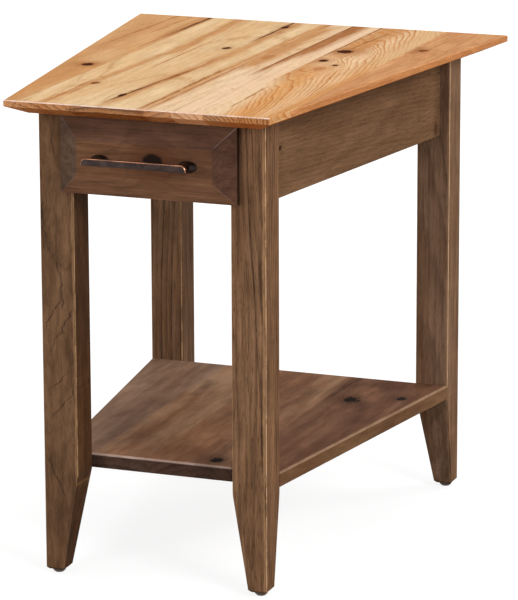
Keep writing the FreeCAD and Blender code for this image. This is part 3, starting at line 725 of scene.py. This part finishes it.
# the pink along the shelf's arrises is a painted highlight
shelfCommon = dict(
    stainCommon, warm=(0.245, 0.110, 0.058), sheen=(0.36, 0.52), specular=0.003, mottle=0.16, pore=0.16,
    band=0.12, fibre=0.05, vein=0.06, ringDark=0.2, wearAndHighlight=0.9, wearAndHighlightColour=(0.50, 0.36, 0.30), patchy=0.35,
    curl=0.01, density=110.0, endColour=(0.011, 0.008, 0.008), endPale=(0.034, 0.021, 0.019))
shelfBoards = {
    "shelf_board_1": dict(
        shelfCommon, pith=(-0.30, 0, 0.0), lean=0.05, pale=(0.318, 0.192, 0.127),
        warm=(0.222, 0.123, 0.079),
        heart=[band(-125, 330, -115, 130, 24, smoke, strength=0.4, ragged=0.006)]),
    "shelf_board_2": dict(
        shelfCommon, pith=(-0.06, 0, -0.02), lean=0.06, pale=(0.400, 0.232, 0.136),
        heart=[
            band(-94, 430, -86, 330, 8, smoke, strength=0.5, ragged=0.004),
            band(-62, 440, -52, 290, 15, (0.46, 0.275, 0.155), strength=0.7, ragged=0.006),
            band(-52, 310, -50, 80, 17, (0.43, 0.26, 0.155), strength=0.7, ragged=0.004),
        ]),
    "shelf_board_3": dict(
        shelfCommon, pith=(0.05, 0, 0.0), lean=0.04, pale=(0.355, 0.180, 0.098), warm=(0.27, 0.125, 0.066),
        heart=[
            band(0, 560, 4, 250, 12, smoke, strength=0.45, ragged=0.005),
            band(-4, 190, 14, 110, 16, (0.45, 0.22, 0.115), strength=0.5, ragged=0.005),
        ]),
    "shelf_board_4": dict(
        shelfCommon, pith=(0.02, 0, 0.02), lean=0.05, pale=(0.362, 0.193, 0.110),
        warm=(0.252, 0.118, 0.067),
        heart=[
            band(69, 560, 69, 340, 5, (0.50, 0.30, 0.17), strength=0.7, ragged=0.002),
            band(48, 150, 50, 60, 9, smoke, strength=0.5, ragged=0.004),
        ],
        knots=[knotAt(56, 68, shelfZ, 8.5, halo=0.7)]),
    "shelf_board_5": dict(
        shelfCommon, pith=(0.13, 0, 0.03), lean=0.06, pale=(0.268, 0.136, 0.079),
        warm=(0.174, 0.078, 0.045),
        heart=[
            band(122, 470, 130, 385, 20, (0.37, 0.175, 0.098), strength=0.8, ragged=0.006),
            band(128, 400, 168, 270, 12, (0.085, 0.034, 0.022), strength=0.6, ragged=0.008),
        ],
        streaks=[band(95, 540, 84, 380, 1.8, (0.070, 0.030, 0.018), strength=0.8, ragged=0.002)],
        knots=[
            knotAt(117, 393, shelfZ, 11.0, ragged=2.0, halo=0.8),
            knotAt(177, 420, shelfZ, 7.0, ragged=1.8, halo=0.7),
        ],
        # a softer painted highlight on the right arris, and painted light: the right edge darkened and warmed
        # against the sheen it catches
        wearAndHighlightColour=(0.36, 0.225, 0.14), faces=[(0, 1, (0.83, 0.88, 0.74))]),
}
for name, wood in shelfBoards.items():
    dress(name, hickory(name + "_stain", wood))
print("base dressed")

# Pale wood that the drawer and its runners are made of
boxWood = dict(
    topCommon, wearAndHighlight=0.0, pale=(0.62, 0.43, 0.25), warm=(0.56, 0.36, 0.19), late=(0.42, 0.24, 0.11),
    bandColour=(0.50, 0.31, 0.15), veinColour=(0.38, 0.21, 0.095), poreColour=(0.25, 0.13, 0.06),
    endColour=(0.36, 0.20, 0.09), endPale=(0.46, 0.28, 0.14), fibre=0.08, pore=0.15, density=180.0,
    sheen=(0.4, 0.55), bump=0.08)
runnerWood = dict(boxWood, pale=(0.45, 0.28, 0.14), warm=(0.38, 0.22, 0.10), sheen=(0.5, 0.65))
paleWoods = {
    "drawer_side_left": dict(boxWood, grain="side", pith=(0.56, 0, 0.05)),
    "drawer_side_right": dict(boxWood, grain="side", pith=(0.52, 0, -0.05)),
    "drawer_box_front": dict(boxWood, grain="x", pith=(0.50, 0, -0.10)),
    "drawer_box_back": dict(boxWood, grain="x", pith=(0.58, 0, 0.30)),
    "drawer_bottom": dict(boxWood, grain="x", pith=(0.30, 0, 0.05), density=110.0, ringDark=0.25),
    "drawer_guide_left": dict(runnerWood, grain="side", pith=(0.40, 0, 0.05)),
    "drawer_guide_right": dict(runnerWood, grain="side", pith=(0.40, 0, -0.05)),
    "drawer_runner_left": dict(runnerWood, pith=(-0.20, 0, 0.45)),
    "drawer_runner_right": dict(runnerWood, pith=(0.20, 0, 0.45)),
    "drawer_kicker_left": dict(runnerWood, pith=(-0.20, 0, 0.62)),
    "drawer_kicker_right": dict(runnerWood, pith=(0.20, 0, 0.62)),
    "shelf_dowels": dict(runnerWood, pith=(0.20, 0, 0.1)),
}
for name, wood in paleWoods.items():
    dress(name, hickory(name + "_wood", wood))
print("drawer box and runners dressed")

# Metal and moulded parts
metalDefaults = dict(cloudy=dict(detail=4.0, rough=0.6, twist=0.5), cloudSpan=(0.35, 0.68), gritDetail=3.0,
                     bumpDeep=0.0002)


def metal(name, piece):
    look = {**metalDefaults, **piece}
    material, tree = newMaterial(name)
    place = addNode(tree, "ShaderNodeTexCoord").outputs["Object"]
    mottle = remap(tree, noise(tree, place, look["mottle"], **look["cloudy"])[0], *look["cloudSpan"])
    colour = mixColour(tree, mottle, (*look["dark"], 1), (*look["light"], 1))
    if "wearAndHighlight" in look:
        arris = placeGroup(tree, arrisWearAndHighlight, Place=place, Patchy=look["patchy"])[0]
        rubEnd = look["rubDepth"] + look["rubFade"]
        reached = remap(tree, axes(tree, place)[1], look["rubDepth"], rubEnd, 1.0, 0.0)
        colour = mixColour(tree, product(tree, arris, reached, look["wearAndHighlight"]), colour, (*look["wearAndHighlightColour"], 1))
    low, high = look["sheen"]
    rough = placeGroup(tree, handSheen, Place=place, Low=low, High=high)["Rough"]
    grit = noise(tree, place, look["grit"], look["gritDetail"])[0]
    relief = {"Strength": look["bump"], "Distance": look["bumpDeep"], "Height": grit}
    bump = addNode(tree, "ShaderNodeBump", relief).outputs[0]
    addSurface(tree, colour, rough, bump, {"Metallic": look["metal"]})
    return material


barDeep = 0.0052  # the pull's bar alone, not its feet
rubbedBronze = dict(mottle=70.0, dark=(0.020, 0.013, 0.012), light=(0.045, 0.027, 0.023),
                    wearAndHighlight=0.9, wearAndHighlightColour=(0.55, 0.24, 0.13), patchy=0.6,
                    rubDepth=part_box("pull")[0][1] + barDeep, rubFade=0.0004,
                    sheen=(0.28, 0.48), bump=0.10, grit=600.0, metal=0.85)
zincSteel = dict(mottle=300.0, dark=(0.42, 0.40, 0.36), light=(0.60, 0.58, 0.53),
                 sheen=(0.25, 0.45), bump=0.1, grit=900.0, metal=1.0)
darkNylon = dict(mottle=120.0, dark=(0.030, 0.015, 0.010), light=(0.055, 0.026, 0.016),
                 sheen=(0.45, 0.6), bump=0.1, grit=700.0, metal=0.0)
dress("pull", metal("pull_bronze_rubbed", rubbedBronze))
steel = metal("screw_zinc", zincSteel)
for name in ("top_screws", "drawer_front_screws", "pull_screws"):
    dress(name, steel)
dress("leg_glides", metal("glide_nylon_dark", darkNylon))
print("metal dressed")

# Studio: pale floor, white surround and four soft lamps
studio = dict(
    floorSize=14, floorDrop=0.0005, floor=0.55, floorVary=0.01, floorNoise=dict(scale=3.0, detail=3.0),
    floorSpan=(0.3, 0.7),
    shadow=0.48, white=0.84, whiteSpan=(0.5, 3.0),  # the shadow stays near the legs, plain white further off
    surround=0.32, aim=(0, 0, 0.35),
    lamps=[
        dict(name="rightKey", at=(4.2, -2.6, 3.0), size=2.2, watts=145),
        dict(name="frontFill", at=(-1.6, -5.0, 1.7), size=2.6, watts=105),
        dict(name="overhead", at=(-0.3, 0.3, 3.2), size=2.4, watts=38),
        dict(name="backFill", at=(3.6, 3.4, 2.4), size=2.2, watts=80),
    ])
plainWhite = (1.0, 1.0, 1.0, 1.0)


# camera rays and rays off metal or through glass see the white, the rest see the plain light level
def seenDirectly(tree):
    path = addNode(tree, "ShaderNodeLightPath").outputs
    mirrored = calc(tree, "MAXIMUM", path["Is Glossy Ray"], path["Is Transmission Ray"])
    return calc(tree, "MAXIMUM", path["Is Camera Ray"], mirrored)


def floorPaper():
    paper, tree = newMaterial("floor_paper")
    place = addNode(tree, "ShaderNodeTexCoord").outputs["Object"]
    seen = seenDirectly(tree)
    mottle = noise(tree, place, **studio["floorNoise"])[0]
    darkest = studio["floor"] - studio["floorVary"]
    palest = studio["floor"] + studio["floorVary"]
    tone = remap(tree, mottle, *studio["floorSpan"], darkest, palest)
    tone = product(tree, tone, remap(tree, seen, 0.0, 1.0, 1.0, studio["shadow"]))
    matte = addNode(tree, "ShaderNodeBsdfDiffuse", {"Color": greyColour(tree, tone)}).outputs[0]
    white = remap(tree, lengthOf(tree, place), *studio["whiteSpan"], studio["white"], 1.0)
    light = {"Color": plainWhite, "Strength": product(tree, seen, white)}
    glow = addNode(tree, "ShaderNodeEmission", light).outputs[0]
    both = addNode(tree, "ShaderNodeAddShader", {0: matte, 1: glow}).outputs[0]
    addNode(tree, "ShaderNodeOutputMaterial", {"Surface": both})
    return paper


bpy.ops.object.select_all(action="DESELECT")
bpy.ops.mesh.primitive_plane_add(size=studio["floorSize"], location=(0, 0, -studio["floorDrop"]))
floor = bpy.context.object
floor.name = "floor"
floor.data.materials.append(floorPaper())

world = bpy.data.worlds.new("softSurround")
bpy.context.scene.world = world
world.use_nodes = True
skyTree = world.node_tree
skyTree.nodes.clear()
skyLight = remap(skyTree, seenDirectly(skyTree), 0.0, 1.0, studio["surround"], 1.0, smooth=False)
sky = addNode(skyTree, "ShaderNodeBackground", {"Color": plainWhite, "Strength": skyLight})
addNode(skyTree, "ShaderNodeOutputWorld", {"Surface": sky.outputs[0]})

for lamp in studio["lamps"]:
    data = bpy.data.lights.new(lamp["name"], "AREA")
    data.shape = "DISK"
    data.size = lamp["size"]
    data.energy = lamp["watts"]
    made = bpy.data.objects.new(lamp["name"], data)
    bpy.context.collection.objects.link(made)
    made.location = lamp["at"]
    made.rotation_mode = "QUATERNION"
    made.rotation_quaternion = (Vector(studio["aim"]) - made.location).to_track_quat("-Z", "Y")

# Camera at the photograph's angle
shot = dict(at=(1.69334, -4.30928, 1.44201), yaw=21.043, pitch=-13.83, roll=-0.206, lens=222.43, sensor=36)


def turned(degrees, axis):
    return Matrix.Rotation(math.radians(degrees), 4, axis)


data = bpy.data.cameras.new("photoCamera")
data.lens = shot["lens"]
data.sensor_width = shot["sensor"]
camera = bpy.data.objects.new("photoCamera", data)
bpy.context.collection.objects.link(camera)
turn = turned(shot["yaw"], "Z") @ turned(90 + shot["pitch"], "X") @ turned(shot["roll"], "Z")
camera.matrix_world = Matrix.Translation(shot["at"]) @ turn
bpy.context.scene.camera = camera
bpy.context.scene.view_settings.view_transform = "Standard"
print("studio ready")
